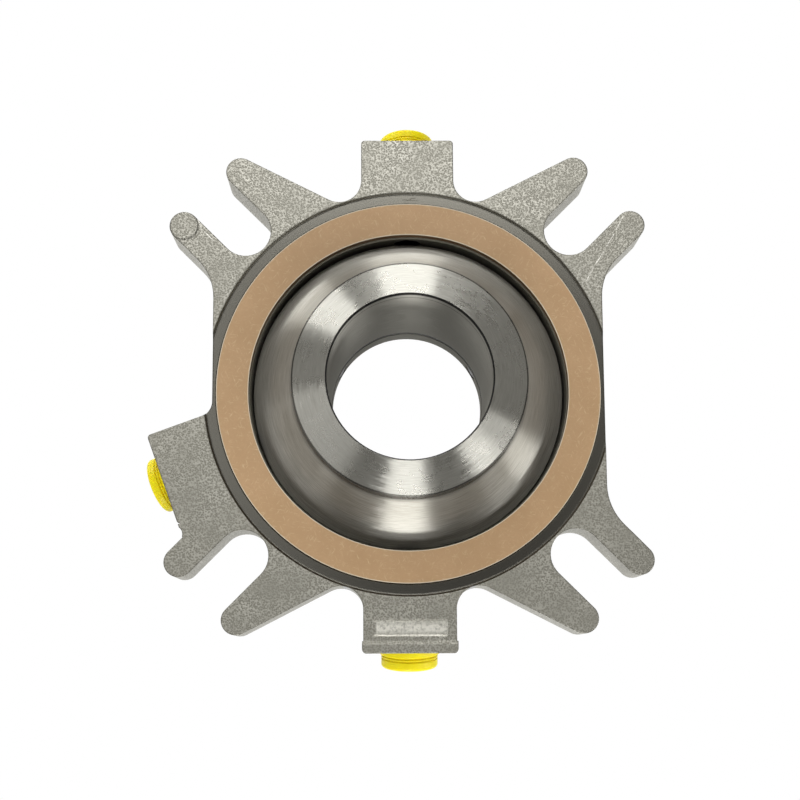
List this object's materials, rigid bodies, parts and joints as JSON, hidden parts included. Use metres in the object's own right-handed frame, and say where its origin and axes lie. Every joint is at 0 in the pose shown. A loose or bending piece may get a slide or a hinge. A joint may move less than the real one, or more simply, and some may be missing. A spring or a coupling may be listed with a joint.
{
  "type": "cartridge mechanical seal",
  "caption": "Cartridge mechanical seal: cast gland with open bolt slots and plugged ports, gasket, conical rotor sleeve, spring loaded faces, drive collar and setting clips.",
  "frame": {"origin": "on the shaft axis, in the plane of the gasket's sealing face", "axes": "+Z along the shaft to the pump side, +Y towards the flush port, +X completes the right-handed frame"},
  "size_m": [0.1432, 0.1581, 0.0614],
  "materials": {
    "blasted_cast_stainless": "blasted investment casting, matt grain",
    "fibre_gasket": "compressed fibre sheet, pale cut edges",
    "yellow_plug_plastic": "moulded polyethylene, soft gloss",
    "turned_stainless": "fine turned rings",
    "silicon_carbide": "lapped ceramic",
    "carbon_graphite": "lapped carbon",
    "oring_rubber": "moulded rubber",
    "spring_steel": "drawn wire and pressed plate",
    "ground_pin_steel": "ground",
    "filled_ptfe": "turned filled PTFE",
    "black_screw_steel": "black oxide",
    "stainless_screw": "cold headed stainless",
    "clip_brass": "milled brass"
  },
  "bodies": {
    "gland": {"gland": "blasted_cast_stainless", "gland_gasket": "fibre_gasket", "stationary_face_oring": "oring_rubber", "anti_rotation_pins": "ground_pin_steel", "throttle_bushing": "filled_ptfe", "face_springs": "spring_steel", "clip_screws": "stainless_screw"},
    "rotor": {"sleeve": "turned_stainless", "rotary_face": "silicon_carbide", "rotary_face_oring": "oring_rubber", "rotary_drive_pins": "ground_pin_steel", "shaft_oring": "oring_rubber", "drive_collar": "turned_stainless", "shaft_drive_screws": "black_screw_steel", "collar_lock_screws": "black_screw_steel"},
    "floating_face": {"stationary_face": "carbon_graphite", "spring_plate": "spring_steel"},
    "flush_plug": {"flush_port_plug": "yellow_plug_plastic"},
    "side_plug": {"side_port_plug": "yellow_plug_plastic"},
    "drain_plug": {"drain_port_plug": "yellow_plug_plastic"},
    "clip_1": {"setting_clip_1": "clip_brass"},
    "clip_2": {"setting_clip_2": "clip_brass"},
    "clip_3": {"setting_clip_3": "clip_brass"}
  },
  "joints": [
    {"name": "rotor_spin", "type": "hinge", "parent": "gland", "child": "rotor", "pos_m": [0, 0, 0], "axis": [0, 0, 1], "continuous": true},
    {"name": "face_slide", "type": "slide", "parent": "gland", "child": "floating_face", "axis": [0, 0, -1], "range_m": [0, 0.0015], "deforming": ["face_springs"]},
    {"name": "flush_plug_out", "type": "slide", "parent": "gland", "child": "flush_plug", "axis": [0, 0.9781, -0.2079], "range_m": [0, 0.02]},
    {"name": "side_plug_out", "type": "slide", "parent": "gland", "child": "side_plug", "axis": [-0.9192, -0.3345, -0.2079], "range_m": [0, 0.02]},
    {"name": "drain_plug_out", "type": "slide", "parent": "gland", "child": "drain_plug", "axis": [0, -0.9781, -0.2079], "range_m": [0, 0.02]},
    {"name": "clip_1_swing", "type": "hinge", "parent": "gland", "child": "clip_1", "pos_m": [0.0381, 0.022, -0.02885], "axis": [0, 0, 1], "range_deg": [-100, 100]},
    {"name": "clip_2_swing", "type": "hinge", "parent": "gland", "child": "clip_2", "pos_m": [-0.0381, 0.022, -0.02885], "axis": [0, 0, 1], "range_deg": [-100, 100]},
    {"name": "clip_3_swing", "type": "hinge", "parent": "gland", "child": "clip_3", "pos_m": [0, -0.044, -0.02885], "axis": [0, 0, 1], "range_deg": [-100, 100]}
  ]
}
